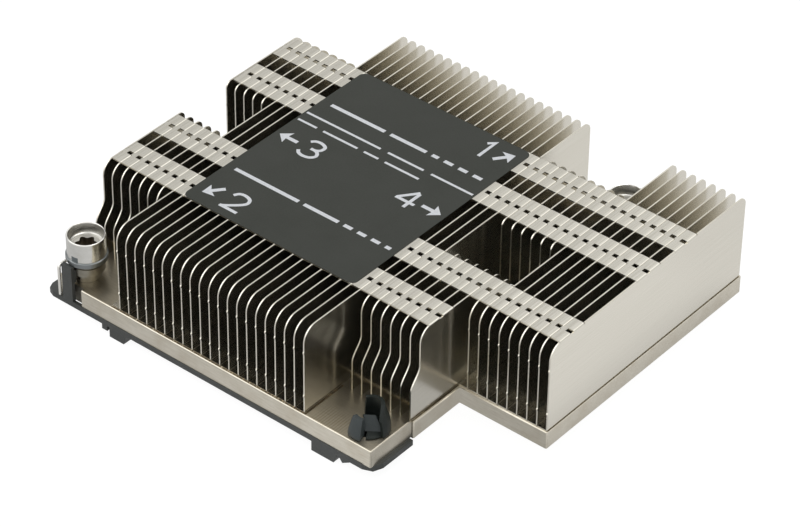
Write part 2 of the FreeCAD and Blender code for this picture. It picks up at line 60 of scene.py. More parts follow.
# Lines of the fin stack, counted from 0 at the left; line MAIN_FIN stands at X 0.
# Lines up to LEFT_SPLIT_LAST, and from RIGHT_SPLIT_FIRST to RIGHT_SPLIT_LAST, are
# cut in two over the middle nuts.  The other lines up to LEFT_SHORT_LAST, and
# from RIGHT_SHORT_FIRST, are as short but whole.  The last lines are the wing's.
FIN_COUNT = 44
MAIN_FIN = 17
LEFT_SPLIT_LAST = 4
LEFT_SHORT_LAST = 6
RIGHT_SHORT_FIRST = 28
RIGHT_SPLIT_FIRST = 30
RIGHT_SPLIT_LAST = 35
PITCH = 2.5

# Section of a fin from FOOT, the base plate's top, to TOP: side, bend, flange,
# window and tongue, measured from the sheet's outer side
SHEET = 0.3
BEND = 0.34
BEND_STEPS = 5
FLANGE_END = -2.42
TONGUE_END = -2.75
TONGUE_HALF = 0.45
WINDOW_HALF = 0.52
WINDOW_END = -1.4
RELIEF = 0.12
FOOT = 4.5
TOP = 25.5

# Side view of the fins: ends, corners, flange bands as (middle, length), and nibs
FIN_END = 46.0
WING_FRONT = 19.3
GAP_HALF = 6.6
BLOCK_TOP = 31.5
BLOCK_FOOT = 34.3
BLOCK_FLANGE = 30.2
LARGE_CORNER = 3.5
BLOCK_CORNER = 3.2
REAR_CORNER = 2.0
GAP_CORNER = 1.5
CORNER_STEPS = 10
INNER_BAND = (12.45, 7.7)
OUTER_BAND = (25.1, 7.4)
JOGGLE_LOW = 11.6
JOGGLE_HIGH = 16.7
JOGGLE_STEPS = 12
LOW_NICK = 8.85
HIGH_NICK = 19.77
NICK_HALF = 0.34
NICK_TIP = 0.18
NICK_OUT = 0.16
GAP_NICK_OUT = 0.07

# Range of a noise pattern that the materials use
PATTERN_LOW = 0.3
PATTERN_HIGH = 0.7


# Node helpers

def new_material(name):
    material = bpy.data.materials.new(name)
    material.use_nodes = True
    return material, material.node_tree, material.node_tree.nodes["Principled BSDF"]


def add(tree, kind, **values):
    """A new node; each value goes to the input of its name, or else to that setting."""
    node = tree.nodes.new(kind)
    for key, item in values.items():
        if key in node.inputs:
            node.inputs[key].default_value = item
        else:
            setattr(node, key, item)
    return node


def feed(tree, socket, item):
    """Links an output to the socket, or sets the socket to a constant."""
    if isinstance(item, bpy.types.NodeSocket):
        tree.links.new(item, socket)
    else:
        socket.default_value = item


def grey(level):
    return (level, level, level, 1.0)


def object_coords(tree, scale=(1, 1, 1)):
    coords = tree.nodes.new("ShaderNodeTexCoord")
    mapping = add(tree, "ShaderNodeMapping", Scale=scale)
    tree.links.new(coords.outputs["Object"], mapping.inputs["Vector"])
    return mapping.outputs["Vector"]


def split(tree, vector):
    """The X, Y and Z outputs of a vector."""
    node = tree.nodes.new("ShaderNodeSeparateXYZ")
    tree.links.new(vector, node.inputs[0])
    return node.outputs


def noise(tree, vector, scale, detail=3.0, roughness=0.55):
    node = add(tree, "ShaderNodeTexNoise", Scale=scale, Detail=detail, Roughness=roughness)
    tree.links.new(vector, node.inputs["Vector"])
    return node.outputs["Fac"]


def ramp(tree, factor, stops):
    node = tree.nodes.new("ShaderNodeValToRGB")
    elements = node.color_ramp.elements
    while len(elements) < len(stops):
        elements.new(0.5)
    for element, (place, colour) in zip(elements, stops):
        element.position = place
        element.color = colour if len(colour) == 4 else (*colour, 1.0)
    tree.links.new(factor, node.inputs["Fac"])
    return node.outputs["Color"]


def mapped(tree, value, start, end, low=0.0, high=1.0):
    """The value's range from start to end, turned into low to high."""
    node = tree.nodes.new("ShaderNodeMapRange")
    for name, number in [("From Min", start), ("From Max", end), ("To Min", low), ("To Max", high)]:
        node.inputs[name].default_value = number
    tree.links.new(value, node.inputs["Value"])
    return node.outputs["Result"]


def spread(tree, pattern, low, high):
    """A noise pattern turned into numbers from low to high."""
    return mapped(tree, pattern, PATTERN_LOW, PATTERN_HIGH, low, high)


def two_tone(tree, pattern, low, high):
    """A noise pattern turned into colours from low to high."""
    return ramp(tree, pattern, [(PATTERN_LOW, low), (PATTERN_HIGH, high)])


def product(tree, first, second):
    node = add(tree, "ShaderNodeMath", operation="MULTIPLY")
    feed(tree, node.inputs[0], first)
    feed(tree, node.inputs[1], second)
    return node.outputs[0]


def mixed(tree, amount, first, second, blend="MIX"):
    """Two colours mixed by an amount; each is an output or a constant."""
    node = add(tree, "ShaderNodeMix", data_type="RGBA", blend_type=blend)
    feed(tree, node.inputs[0], amount)
    feed(tree, node.inputs[6], first)
    feed(tree, node.inputs[7], second)
    return node.outputs[2]


def mixed_shaders(tree, amount, first, second):
    node = tree.nodes.new("ShaderNodeMixShader")
    for socket, item in zip(node.inputs, (amount, first, second)):
        tree.links.new(item, socket)
    return node.outputs[0]


def bump(tree, shader, height, strength, distance):
    node = add(tree, "ShaderNodeBump", Strength=strength, Distance=distance)
    tree.links.new(height, node.inputs["Height"])
    tree.links.new(node.outputs["Normal"], shader.inputs["Normal"])


def surface(tree, shader, colour, roughness, metallic=0.0, shine=0.5):
    feed(tree, shader.inputs["Base Color"], colour)
    feed(tree, shader.inputs["Roughness"], roughness)
    shader.inputs["Metallic"].default_value = metallic
    shader.inputs["Specular IOR Level"].default_value = shine


# Materials

def fin_metal(name, low, high, rough_low, rough_high, relief=0.06):
    """Bright plated sheet with fine rolling lines along its length."""
    material, tree, shader = new_material(name)
    lines = noise(tree, object_coords(tree, (3400, 40, 3400)), 1.0)
    surface(tree, shader, two_tone(tree, lines, low, high),
            spread(tree, lines, rough_low, rough_high), metallic=1.0)
    bump(tree, shader, lines, relief, 0.01 * MM)
    return material


def cutter_marks(tree):
    """Faint curved cutter lines on the base's top at the front post."""
    marks = add(tree, "ShaderNodeTexWave", wave_type="BANDS", bands_direction="X", Scale=520.0,
                Distortion=2.5, Detail=1.0)
    marks.inputs["Detail Scale"].default_value = 0.25
    place = object_coords(tree)
    tree.links.new(place, marks.inputs["Vector"])
    place_split = split(tree, place)
    amount = mapped(tree, marks.outputs["Fac"], 0.55, 1.6)
    for axis, start, end in [("X", 26.2, 27.5), ("X", 35.5, 33.5), ("Y", -40.0, -42.5), ("Z", 4.40, 4.48)]:
        amount = product(tree, amount, mapped(tree, place_split[axis], start * MM, end * MM))
    return amount


def base_metal():
    """Nickel plating over machined copper, with smudges and cutter marks at the post, and painted shade
    that darkens its upward faces.
    """
    material, tree, shader = new_material("base_metal_dressed")
    lines = noise(tree, object_coords(tree, (300, 4200, 4200)), 1.0)
    smudges = noise(tree, object_coords(tree), 170.0, 6.0, 0.65)
    clouds = ramp(tree, smudges, [(0.30, (0.61, 0.56, 0.465)), (0.50, (0.67, 0.63, 0.54)),
                                  (0.70, (0.72, 0.68, 0.59))])
    streaks = two_tone(tree, lines, (0.86, 0.85, 0.83), (1.0, 1.0, 1.0))
    colour = mixed(tree, 1.0, clouds, streaks, "MULTIPLY")
    normal = tree.nodes.new("ShaderNodeTexCoord").outputs["Normal"]
    # Painted shade: faces that look up are given a darker colour.
    painted_top_shade = mapped(tree, split(tree, normal)["Z"], 0.75, 0.98)
    colour = mixed(tree, painted_top_shade, colour, (0.76, 0.74, 0.70, 1.0), "MULTIPLY")
    colour = mixed(tree, cutter_marks(tree), colour, (0.42, 0.38, 0.30, 1.0), "MULTIPLY")
    surface(tree, shader, colour, spread(tree, smudges, 0.38, 0.30), metallic=1.0)
    bump(tree, shader, lines, 0.16, 0.02 * MM)
    return material


def turned_metal(name, low, high, rough_low, rough_high):
    """Turned and plated steel with fine rings."""
    material, tree, shader = new_material(name)
    rings = noise(tree, object_coords(tree, (300, 300, 9000)), 1.0, 2.0)
    patches = noise(tree, object_coords(tree), 400.0)
    surface(tree, shader, two_tone(tree, patches, low, high),
            spread(tree, rings, rough_low, rough_high), metallic=1.0)
    bump(tree, shader, rings, 0.10, 0.02 * MM)
    return material


def moulded_plastic(name, low, high, shine=0.5):
    """Dark moulded plastic with a fine eroded texture."""
    material, tree, shader = new_material(name)
    place = object_coords(tree)
    grain = noise(tree, place, 2600.0, 2.0)
    cloud = noise(tree, place, 150.0)
    surface(tree, shader, two_tone(tree, cloud, low, high), spread(tree, grain, 0.42, 0.58),
            shine=shine)
    bump(tree, shader, grain, 0.35, 0.04 * MM)
    return material


def label_film():
    """Matt dark film with a faint mottle."""
    material, tree, shader = new_material("label_film_dressed")
    place = object_coords(tree)
    grain = noise(tree, place, 3200.0, 2.0)
    cloud = noise(tree, place, 90.0)
    colour = two_tone(tree, cloud, (0.038, 0.041, 0.034), (0.045, 0.048, 0.041))
    surface(tree, shader, colour, spread(tree, grain, 0.55, 0.68), shine=0.25)
    bump(tree, shader, grain, 0.10, 0.02 * MM)
    return material


def print_ink():
    """Pale ink with a slight grain."""
    material, tree, shader = new_material("label_ink")
    grain = noise(tree, object_coords(tree), 1800.0, 2.0)
    surface(tree, shader, two_tone(tree, grain, (0.68, 0.70, 0.73), (0.78, 0.80, 0.83)), 0.6)
    return material


def solder_metal(name, dark, middle, light):
    """Solder and flux that crept out at the fins' feet; its dark version also paints shade into the
    creases there.
    """
    material, tree, shader = new_material(name)
    patches = noise(tree, object_coords(tree), 900.0, 4.0)
    colour = ramp(tree, patches, [(0.35, dark), (0.5, middle), (0.65, light)])
    surface(tree, shader, colour, spread(tree, patches, 0.4, 0.55), metallic=0.6)
    return material


FIN_SIDE = fin_metal("fin_aluminium_side", (0.66, 0.63, 0.555), (0.70, 0.67, 0.595), 0.20, 0.25, 0.02)
# Darker copy of the same aluminium for the flanges and bends: painted shade on the fins' top faces.
FIN_FACE_SHADED = fin_metal("fin_aluminium_face_shaded", (0.59, 0.565, 0.495), (0.69, 0.665, 0.59), 0.16, 0.24)
# Lighter copy of the same aluminium for the cut edges: a painted highlight along the fins' edges.
FIN_EDGE_HIGHLIGHT = fin_metal("fin_aluminium_edge_highlight", (0.66, 0.625, 0.535), (0.80, 0.765, 0.67), 0.26, 0.36)
BASE_METAL = base_metal()
NUT_METAL = turned_metal("nut_steel_dressed", (0.66, 0.65, 0.61), (0.74, 0.73, 0.70), 0.14, 0.22)
COLLAR_METAL = turned_metal("nut_collar_steel", (0.21, 0.225, 0.23), (0.28, 0.295, 0.30), 0.28, 0.38)
# Darker copies of the nut's steel for the cup's inner wall and the lobed recess: painted shade inside the
# cup.
CUP_SHADE_METAL = turned_metal("nut_cup_steel_shaded", (0.42, 0.41, 0.38), (0.54, 0.53, 0.50), 0.24, 0.34)
RECESS_SHADE_METAL = turned_metal("nut_recess_steel_shaded", (0.16, 0.14, 0.11), (0.26, 0.23, 0.19), 0.35, 0.45)
SLEEVE_METAL = turned_metal("nut_sleeve_steel", (0.22, 0.205, 0.17), (0.32, 0.30, 0.25), 0.28, 0.38)
WIRE_METAL = turned_metal("wire_steel_dressed", (0.84, 0.82, 0.77), (0.90, 0.88, 0.83), 0.45, 0.55)
RING_METAL = turned_metal("ring_steel_dressed", (0.50, 0.49, 0.47), (0.60, 0.59, 0.57), 0.30, 0.40)
# Painted shade for the windows on the nuts' walls.
WINDOW_SHADE = turned_metal("nut_window_shade", (0.14, 0.16, 0.165), (0.20, 0.22, 0.225), 0.4, 0.5)
PLASTIC = moulded_plastic("carrier_plastic_dressed", (0.036, 0.039, 0.037), (0.056, 0.060, 0.057))
# Shaded and lit copies of the post's plastic: the shell is painted darker, the finger and slope lighter.
SHADED_SHELL_PLASTIC = moulded_plastic("post_shell_plastic_shaded", (0.013, 0.017, 0.015), (0.021, 0.026, 0.023), 0.22)
LIT_FINGER_PLASTIC = moulded_plastic("post_finger_plastic_lit", (0.036, 0.045, 0.046), (0.047, 0.057, 0.058), 0.4)
FILM = label_film()
INK = print_ink()
# Dark brown for the strips at the fins' feet: partly flux, partly painted shade in their creases.
FLUX_AND_CREASE_SHADE = solder_metal("flux_and_crease_shade", (0.05, 0.035, 0.015), (0.10, 0.075, 0.04), (0.24, 0.19, 0.11))
SOLDER = solder_metal("solder_beads", (0.25, 0.17, 0.08), (0.62, 0.52, 0.36), (0.80, 0.74, 0.62))


# Mesh helpers

WELD = 0.0001 * MM
CAD_WELD = 0.001 * MM
CAD_SMOOTH_ANGLE = 35.0
FLAT_ANGLE = 1.0
BEVEL_ANGLE = 35.0


def joined(parts):
    """One (points, faces, kinds) from several; a part may leave out its kinds."""
    points, faces, kinds = [], [], []
    for more_points, more_faces, *more_kinds in parts:
        first = len(points)
        points += more_points
        faces += [[number + first for number in face] for face in more_faces]
        kinds += more_kinds[0] if more_kinds else [0] * len(more_faces)
    return points, faces, kinds


def loft(rings):
    """Closed form through rings of as many points each, with flat ends."""
    count = len(rings[0])
    points = [point for ring in rings for point in ring]
    faces = []
    for row in range(len(rings) - 1):
        for number in range(count):
            after = (number + 1) % count
            faces.append([row * count + number, row * count + after,
                          (row + 1) * count + after, (row + 1) * count + number])
    last = (len(rings) - 1) * count
    faces += [list(range(count))[::-1], [last + number for number in range(count)]]
    return points, faces


def circle(steps):
    """Cosine and sine at even steps of a full turn."""
    turns = [2 * math.pi * step / steps for step in range(steps)]
    return [(math.cos(turn), math.sin(turn)) for turn in turns]


def half_turned(part):
    """The part turned by 180 degrees about the middle of the base plate."""
    points, *rest = part
    return [(-x, -y, z) for x, y, z in points], *rest


def make_piece(name, parts, materials, nodes=(), smooth_angle=30.0, bevel=0.0):
    """A piece of the object from parts in millimetres; a face's kind picks its material."""
    points, faces, kinds = joined(parts)
    mesh = bpy.data.meshes.new(name)
    mesh.from_pydata([(x * MM, y * MM, z * MM) for x, y, z in points], [], faces)
    for kind, face in zip(kinds, mesh.polygons):
        face.material_index = kind
    work = bmesh.new()
    work.from_mesh(mesh)
    bmesh.ops.remove_doubles(work, verts=work.verts, dist=WELD)
    bmesh.ops.recalc_face_normals(work, faces=work.faces)
    work.to_mesh(mesh)
    work.free()
    finish_piece(name, mesh, materials, nodes, smooth_angle, bevel)


def finish_piece(name, mesh, materials, nodes, smooth_angle, bevel):
    """Shading, rounded edges and the frame's calls; faces of many corners stay flat."""
    mesh.shade_smooth()
    mesh.set_sharp_from_angle(angle=math.radians(smooth_angle))
    for face in mesh.polygons:
        if len(face.vertices) > 4:
            face.use_smooth = False
    for material in materials:
        mesh.materials.append(material)
    piece = bpy.data.objects.new(name, mesh)
    bpy.context.scene.collection.objects.link(piece)
    if bevel:
        modifier = piece.modifiers.new("edge_rounding", "BEVEL")
        modifier.width = bevel * MM
        modifier.segments = 2
        modifier.limit_method = "ANGLE"
        modifier.angle_limit = math.radians(BEVEL_ANGLE)
        modifier.use_clamp_overlap = True
        modifier.harden_normals = True
    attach(piece, "root")
    if nodes:
        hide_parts(*nodes)
    return piece


def dressed_copy(name, node, material, bevel, change=None, weigh=None):
    """A copy of a CAD node's mesh, changed and with its edges rounded, by weight where given."""
    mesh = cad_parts[node].data.copy()
    mesh.materials.clear()
    work = bmesh.new()
    work.from_mesh(mesh)
    if change:
        change(work)
    bmesh.ops.remove_doubles(work, verts=work.verts, dist=CAD_WELD)
    bmesh.ops.dissolve_limit(work, angle_limit=math.radians(FLAT_ANGLE), verts=work.verts,
                             edges=work.edges)
    bmesh.ops.recalc_face_normals(work, faces=work.faces)
    if weigh:
        weigh(work)
    work.to_mesh(mesh)
    work.free()
    piece = finish_piece(name, mesh, [material], [node], CAD_SMOOTH_ANGLE, bevel)
    if weigh:
        modifier = piece.modifiers["edge_rounding"]
        modifier.limit_method = "WEIGHT"
        modifier.use_clamp_overlap = False
        modifier.segments = 4


# Fins

SIDE_KIND, FACE_KIND, EDGE_KIND = range(3)


def folded_sheet(cells, offset, mirror):
    """A sheet with thickness from cells, of which the first is its flat side.

    Each cell is a list of (y, outer_x, outer_z, inner_x, inner_z).  The cells'
    free edges become the sheet's cut edges, apart from those on Y 0, where a
    half sheet meets its mirror image.
    """
    points, faces, kinds, places, edges = [], [], [], {}, {}
    side = -1 if mirror else 1

    def place(corner):
        key = tuple(round(number, 4) for number in corner)
        if key not in places:
            y, outer_x, outer_z, inner_x, inner_z = corner
            places[key] = len(points)
            points.append((outer_x + offset, side * y, outer_z))
            points.append((inner_x + offset, side * y, inner_z))
        return places[key]

    for cell in cells:
        ring = [place(corner) for corner in cell]
        faces += [ring, [number + 1 for number in reversed(ring)]]
        kinds += [SIDE_KIND if cell is cells[0] else FACE_KIND] * 2
        edges.update(dict.fromkeys(zip(ring, ring[1:] + ring[:1])))
    for start, end in edges:
        on_middle = points[start][1] == 0.0 and points[end][1] == 0.0
        if (end, start) not in edges and not on_middle:
            faces.append([end, start, start + 1, end + 1])
            kinds.append(EDGE_KIND)
    return points, faces, kinds


def flat(y, z):
    return (y, 0.0, z, -SHEET, z)


def bend_points(foot):
    """The sheet's outer and inner line from its side to its flange."""
    sign = -1 if foot else 1
    centre = FOOT + BEND if foot else TOP - BEND
    line = []
    for step in range(BEND_STEPS + 1):
        turn = math.radians(90 * step / BEND_STEPS)
        across, up = math.cos(turn), sign * math.sin(turn)
        line.append((-BEND + BEND * across, centre + BEND * up,
                     -BEND + (BEND - SHEET) * across, centre + (BEND - SHEET) * up))
    return line


def flange_point(x, foot):
    if foot:
        return (x, FOOT, x, FOOT + SHEET)
    return (x, TOP, x, TOP - SHEET)


def grid_cells(rows, stations, skip=lambda row, number: False):
    """Cells between profile rows and stations along Y, apart from those skipped."""
    cells = []
    for row in range(len(rows) - 1):
        for number in range(len(stations) - 1):
            if not skip(row, number):
                near, far = stations[number], stations[number + 1]
                cells.append([(near, *rows[row + 1]), (far, *rows[row + 1]),
                              (far, *rows[row]), (near, *rows[row])])
    return cells


def top_flange(start, end):
    """Bend, flange, window and tongue of one band."""
    middle = (start + end) / 2
    rows = bend_points(False) + [flange_point(x, False) for x in (WINDOW_END, FLANGE_END, TONGUE_END)]
    stations = [start, middle - WINDOW_HALF, middle - TONGUE_HALF, middle + TONGUE_HALF,
                middle + WINDOW_HALF, end]
    window_rows, tongue_row = BEND_STEPS + 1, len(rows) - 2
    window_cells, tongue_cell = (1, 2, 3), 2

    def skip(row, number):
        if row < window_rows:
            return number in window_cells
        return row == tongue_row and number != tongue_cell

    return grid_cells(rows, stations, skip)


def foot_flange(start, end):
    rows = bend_points(True) + [flange_point(FLANGE_END, True)]
    return grid_cells(rows, [start, end])


def arc(y, z, toward_y, radius, from_side):
    """Rounded upper corner, from the vertical edge when from_side, as (y, z) points."""
    points = []
    for step in range(CORNER_STEPS + 1):
        turn = math.radians(90 * step / CORNER_STEPS)
        first, second = 1 - math.cos(turn), 1 - math.sin(turn)
        along, down = (first, second) if from_side else (second, first)
        points.append((y + toward_y * radius * along, z - radius * down))
    return points


def nick(y, z, out):
    """Small break-off nib on an edge, from top to bottom."""
    return [(y, z + NICK_HALF), (y + out, z + NICK_TIP), (y + out, z - NICK_TIP), (y, z - NICK_HALF)]


def joggle():
    """S-shaped run of the front edge between its upper and lower part."""
    points = []
    for step in range(JOGGLE_STEPS + 1):
        share = step / JOGGLE_STEPS
        eased = share * share * (3 - 2 * share)
        points.append((-BLOCK_TOP + (BLOCK_TOP - BLOCK_FOOT) * eased,
                       JOGGLE_HIGH + (JOGGLE_LOW - JOGGLE_HIGH) * share))
    return points


def band_notch(start, end, flanged):
    """Top edge of the flat side along one band, from the rear to the front."""
    middle = (start + end) / 2
    low = TOP - BEND
    if not flanged:
        return [(middle + WINDOW_HALF, TOP), (middle + WINDOW_HALF, low),
                (middle - WINDOW_HALF, low), (middle - WINDOW_HALF, TOP)]
    return [(end + RELIEF, TOP), (end + RELIEF, low), (end, low),
            (middle + WINDOW_HALF, low), (middle + TONGUE_HALF, low),
            (middle - TONGUE_HALF, low), (middle - WINDOW_HALF, low),
            (start, low), (start - RELIEF, low), (start - RELIEF, TOP)]


def front_rounding(front, radius, lip):
    """Upper front corner, which ends early where a band's relief at lip cuts into it."""
    rounding = arc(front, TOP, 1, radius, False)
    if lip >= front + radius:
        return rounding
    shortest_step = 0.05
    across = radius - (lip - front)
    drop = radius - math.sqrt(radius ** 2 - across ** 2)
    return [(lip, TOP - drop)] + [(y, z) for y, z in rounding if y < lip - shortest_step]


def side_outline(front, rear, front_corner, rear_corner, bands, flanged, joggled):
    """The flat side of a sheet, from its front foot to the rear and back, as (y, z) points."""
    low = FOOT + BEND if flanged else FOOT
    points = [(-BLOCK_FOOT if joggled else front, low), (rear, low)]
    if joggled and flanged:
        points = [(-BLOCK_FOOT, FOOT), (-BLOCK_FLANGE, FOOT), (-BLOCK_FLANGE, low), (rear, low)]
    if rear == -GAP_HALF:
        points += nick(rear, HIGH_NICK, GAP_NICK_OUT)[::-1]
    points += arc(rear, TOP, -1, rear_corner, True) if rear_corner else [(rear, TOP)]
    for start, end in sorted(bands, reverse=True):
        points += band_notch(start, end, flanged)
    lip = min(start for start, end in bands) - RELIEF
    points += front_rounding(front, front_corner, lip)
    if joggled:
        return points + joggle()
    return points + nick(front, HIGH_NICK, -NICK_OUT) + nick(front, LOW_NICK, -NICK_OUT)


def sheet_cells(front, rear, front_corner, rear_corner, bands, flanged=True, joggled=False):
    """All cells of one sheet: its flat side, foot flange and top flanges."""
    outline = side_outline(front, rear, front_corner, rear_corner, bands, flanged, joggled)
    cells = [[flat(y, z) for y, z in outline]]
    if flanged:
        cells += foot_flange(-BLOCK_FLANGE if joggled else front, rear)
        for start, end in bands:
            cells += top_flange(start, end)
    return cells


def band_range(band, side):
    middle, length = band
    return (side * middle - length / 2, side * middle + length / 2)


FULL_BANDS = [band_range(OUTER_BAND, -1), band_range(INNER_BAND, -1),
              band_range(INNER_BAND, 1), band_range(OUTER_BAND, 1)]


def short_sheet(rear, rear_corner, flanged=True):
    """A sheet in front of a middle nut, or the front half of one that runs through."""
    return sheet_cells(-BLOCK_TOP, rear, BLOCK_CORNER, rear_corner, FULL_BANDS[:2], flanged, True)


def fin_sheets(fin):
    """Cells of each sheet on one line of the stack, and whether the sheet is mirrored."""
    if fin > RIGHT_SPLIT_LAST:
        return [(sheet_cells(-WING_FRONT, FIN_END, LARGE_CORNER, REAR_CORNER, FULL_BANDS[1:]), False)]
    if fin == RIGHT_SPLIT_LAST:
        stub = sheet_cells(-WING_FRONT, -GAP_HALF, LARGE_CORNER, GAP_CORNER, FULL_BANDS[1:2])
        return [(stub, False), (short_sheet(-GAP_HALF, GAP_CORNER), True)]
    if fin <= LEFT_SPLIT_LAST or fin >= RIGHT_SPLIT_FIRST:
        short = short_sheet(-GAP_HALF, GAP_CORNER, fin > 0)
        return [(short, False), (short, True)]
    if fin <= LEFT_SHORT_LAST or fin >= RIGHT_SHORT_FIRST:
        half = short_sheet(0.0, 0.0)
        return [(half, False), (half, True)]
    return [(sheet_cells(-FIN_END, FIN_END, LARGE_CORNER, REAR_CORNER, FULL_BANDS), False)]


def make_fins():
    for fin in range(FIN_COUNT):
        x = (fin - MAIN_FIN) * PITCH
        parts = [folded_sheet(cells, x, mirror) for cells, mirror in fin_sheets(fin)]
        make_piece(f"fin_sheet_{fin + 1:02d}", parts, [FIN_SIDE, FIN_FACE_SHADED, FIN_EDGE_HIGHLIGHT],
                   [f"fin_{fin + 1:02d}"], smooth_angle=25.0)


# Captive nuts, at (x, y, how much lower their head is)

NUT_PLACES = [(-38.5, -41.5, 0.0), (38.5, 41.5, 0.0), (-38.5, 0.0, 1.6), (38.5, 0.0, 1.6)]
NUT_SIDES = 96
SHANK_FOOT = -0.9
SHANK_RADIUS = 2.3
COLLAR_FOOT = 9.2
COLLAR_RADIUS = 4.5
COLLAR_EDGE = 0.08
HEAD_FOOT = 10.35
HEAD_TOP = 15.1
HEAD_RADIUS = 4.2
CUP_RADIUS = 3.8
CUP_FLOOR = 12.65
RECESS_RIM = 2.9
RECESS_FLOOR = 10.4
LOBE_COUNT = 6
LOBE_MIDDLE = 2.12
LOBE_DEPTH = 0.34
LOBE_TURN = 39.3
SLEEVE_PROFILE = [(3.0, 4.55), (3.0, 6.3), (3.55, 6.35), (3.75, 6.5), (3.75, 8.3), (3.55, 8.4),
                  (3.55, 8.6), (3.75, 8.7), (3.75, 9.1), (3.6, 9.17)]


def lobes(turn):
    """Radius of the six-lobe recess at an angle."""
    return LOBE_MIDDLE + LOBE_DEPTH * math.cos(LOBE_COUNT * (turn - math.radians(LOBE_TURN)))


def head_profile():
    """Rings of a nut from its shank up and into its recess, as (radius, z, kind)."""
    # The cup and recess kinds take the darker copies of the steel, painted shade inside the cup.
    steel, collar, cup, recess = range(4)
    rim = (HEAD_RADIUS + CUP_RADIUS) / 2
    return [(SHANK_RADIUS, SHANK_FOOT, collar), (SHANK_RADIUS, COLLAR_FOOT, collar),
            (COLLAR_RADIUS - COLLAR_EDGE, COLLAR_FOOT, collar),
            (COLLAR_RADIUS, COLLAR_FOOT + COLLAR_EDGE, collar),
            (COLLAR_RADIUS, HEAD_FOOT - COLLAR_EDGE, collar),
            (COLLAR_RADIUS - COLLAR_EDGE, HEAD_FOOT, collar),
            (HEAD_RADIUS, HEAD_FOOT + 0.05, steel), (HEAD_RADIUS, HEAD_TOP - 0.2, steel),
            (HEAD_RADIUS - 0.08, HEAD_TOP - 0.05, steel), (rim, HEAD_TOP, steel),
            (CUP_RADIUS + 0.08, HEAD_TOP - 0.05, steel), (CUP_RADIUS, HEAD_TOP - 0.2, cup),
            (CUP_RADIUS - 0.2, CUP_FLOOR + 0.15, cup), (CUP_RADIUS - 0.45, CUP_FLOOR, steel),
            (RECESS_RIM, CUP_FLOOR, cup), (lobes, CUP_FLOOR - 0.05, recess),
            (lobes, RECESS_FLOOR, recess)]


def turned_part(profile, x, y, sunk):
    """Turned form through rings of (radius, z, kind), its head lower by sunk."""
    rings, kinds = [], []
    for radius, z, kind in profile:
        lower = z - sunk * max(z - HEAD_FOOT, 0.0) / (HEAD_TOP - HEAD_FOOT)
        ring = []
        for step, (across, up) in enumerate(circle(NUT_SIDES)):
            reach = radius(2 * math.pi * step / NUT_SIDES) if callable(radius) else radius
            ring.append((x + reach * across, y + reach * up, lower))
        rings.append(ring)
        kinds += [kind] * NUT_SIDES
    points, faces = loft(rings)
    return points, faces, kinds[:-NUT_SIDES] + [profile[0][2], profile[-1][2]]


def make_nuts():
    heads = [turned_part(head_profile(), *place) for place in NUT_PLACES]
    make_piece("nut_heads", heads, [NUT_METAL, COLLAR_METAL, CUP_SHADE_METAL, RECESS_SHADE_METAL],
               ["captive_nuts"], smooth_angle=28.0)
    sleeve = [(radius, z, 0) for radius, z in SLEEVE_PROFILE]
    sleeves = [turned_part(sleeve, *place) for place in NUT_PLACES]
    make_piece("nut_sleeves", sleeves, [SLEEVE_METAL], ["nut_springs"],
               smooth_angle=28.0)
    make_nut_windows()


def make_nut_windows():
    """The small dark window low on each nut's wall: a thin shell of painted shade laid on the wall."""
    start, sweep, steps = -94, 22, 6
    inside, outside = HEAD_RADIUS - 0.05, HEAD_RADIUS + 0.01
    low, high = HEAD_FOOT + 0.1, 11.6
    section = [(inside, low), (outside, low), (outside, high), (inside, high)]
    parts = []
    for x, y, sunk in NUT_PLACES:
        turns = [math.radians(start + sweep * step / steps) for step in range(steps + 1)]
        parts.append(loft([[(x + radius * math.cos(turn), y + radius * math.sin(turn), z)
                            for radius, z in section] for turn in turns]))
    make_piece("nut_windows", parts, [WINDOW_SHADE], smooth_angle=40.0)


# Snap posts: profiles as (z, radius), the shell's top as (degrees, z), and sweeps
# as (first degrees, last degrees, steps)

POST_PLACE = (37.5, -41.1)
POST_FOOT = 4.58
SHELL_PROFILE = [(4.58, 4.38), (5.0, 4.40), (6.0, 4.34), (7.1, 4.2), (8.0, 3.88), (9.15, 3.52),
                 (10.3, 3.27), (11.3, 3.1)]
SHELL_TOP = [(-10, 8.2), (0, 9.2), (12, 10.2), (25, 10.8), (45, 10.9), (75, 10.8), (110, 10.5),
             (142, 10.3)]
SHELL_WALL = 0.8
SHELL_ROWS = 12
FINGER_PROFILE = [(4.58, 4.62), (5.1, 4.66), (6.0, 4.48), (7.0, 4.2), (8.0, 3.85), (8.8, 3.52),
                  (9.0, 3.4), (9.0, 2.6), (7.0, 2.35), (4.58, 2.35)]
SHELL_SWEEP = (-10, 142, 38)
FINGER_SWEEP = (-115, -72, 12)
FOOT_SWEEP = (-60, 150, 42)
FOOT_PROFILE = [(4.56, 0.3), (4.56, 3.75), (4.8, 3.78), (5.0, 3.65), (5.2, 3.1), (5.25, 0.3)]
SLOPE_POINTS = [(-0.75, -0.72, 8.0), (1.15, 0.64, 8.0), (3.4, 0.16, 5.15), (0.52, -1.95, 5.15),
                (-1.6, 0.4, 5.4), (0.3, 1.8, 5.4), (1.9, 2.5, 4.9), (-2.4, 0.9, 4.9)]
SLOPE_FACES = [[0, 1, 2, 3], [4, 5, 1, 0], [7, 6, 5, 4], [3, 2, 6, 7], [0, 3, 7, 4], [1, 5, 6, 2]]
NEAR_POST = 5.5
POST_CUT = 4.53


def between(table, place):
    """The table's value at a place, on straight lines between its rows."""
    for (low, first), (high, second) in zip(table, table[1:]):
        if place <= high:
            return first + (second - first) * max(place - low, 0) / (high - low)
    return table[-1][1]


